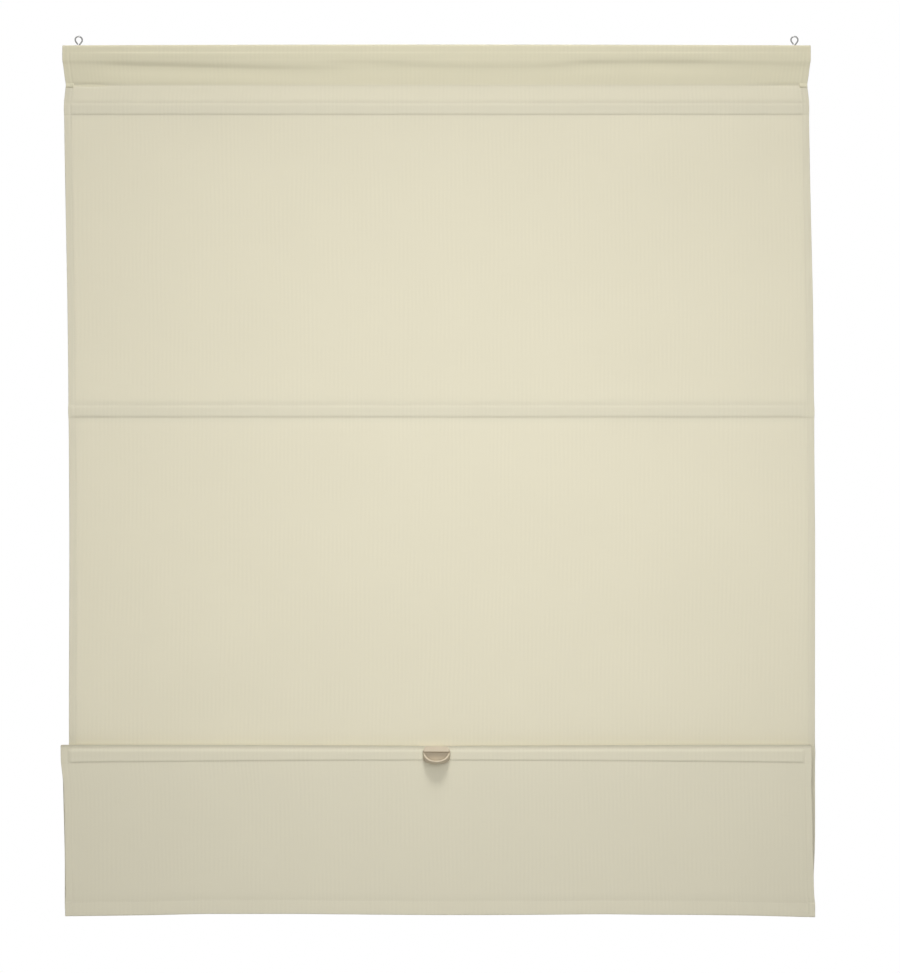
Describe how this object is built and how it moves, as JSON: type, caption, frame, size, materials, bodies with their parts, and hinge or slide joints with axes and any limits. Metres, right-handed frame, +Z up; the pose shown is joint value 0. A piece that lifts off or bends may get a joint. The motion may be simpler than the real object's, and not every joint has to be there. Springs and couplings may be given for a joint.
{
  "type": "roman blind",
  "caption": "Cordless roman blind: sewn cloth panel with batten pockets, hung from its head batten by screw eyes and raised by one fold that a pull clip holds.",
  "frame": {"origin": "middle of the head's flat back face, which lies against the wall", "axes": "+Z up, +Y into the wall, the room and the pull on the -Y side, +X to the right as seen from the room"},
  "size_m": [1, 0.032, 1.176],
  "materials": {
    "blind_cloth": "plain weave, cream",
    "head_batten": "planed, bare",
    "screw_eyes": "bright zinc",
    "pocket_battens": "pultruded glass fibre, off white",
    "pull": "satin moulded, beige"
  },
  "bodies": {
    "root": {"blind_cloth": "blind_cloth", "head_batten": "head_batten", "screw_eye_left": "screw_eyes", "screw_eye_right": "screw_eyes", "batten_1": "pocket_battens", "batten_2": "pocket_battens", "batten_3": "pocket_battens", "batten_4": "pocket_battens", "pull_handle": "pull", "fold_clip": "pull"}
  },
  "joints": []
}
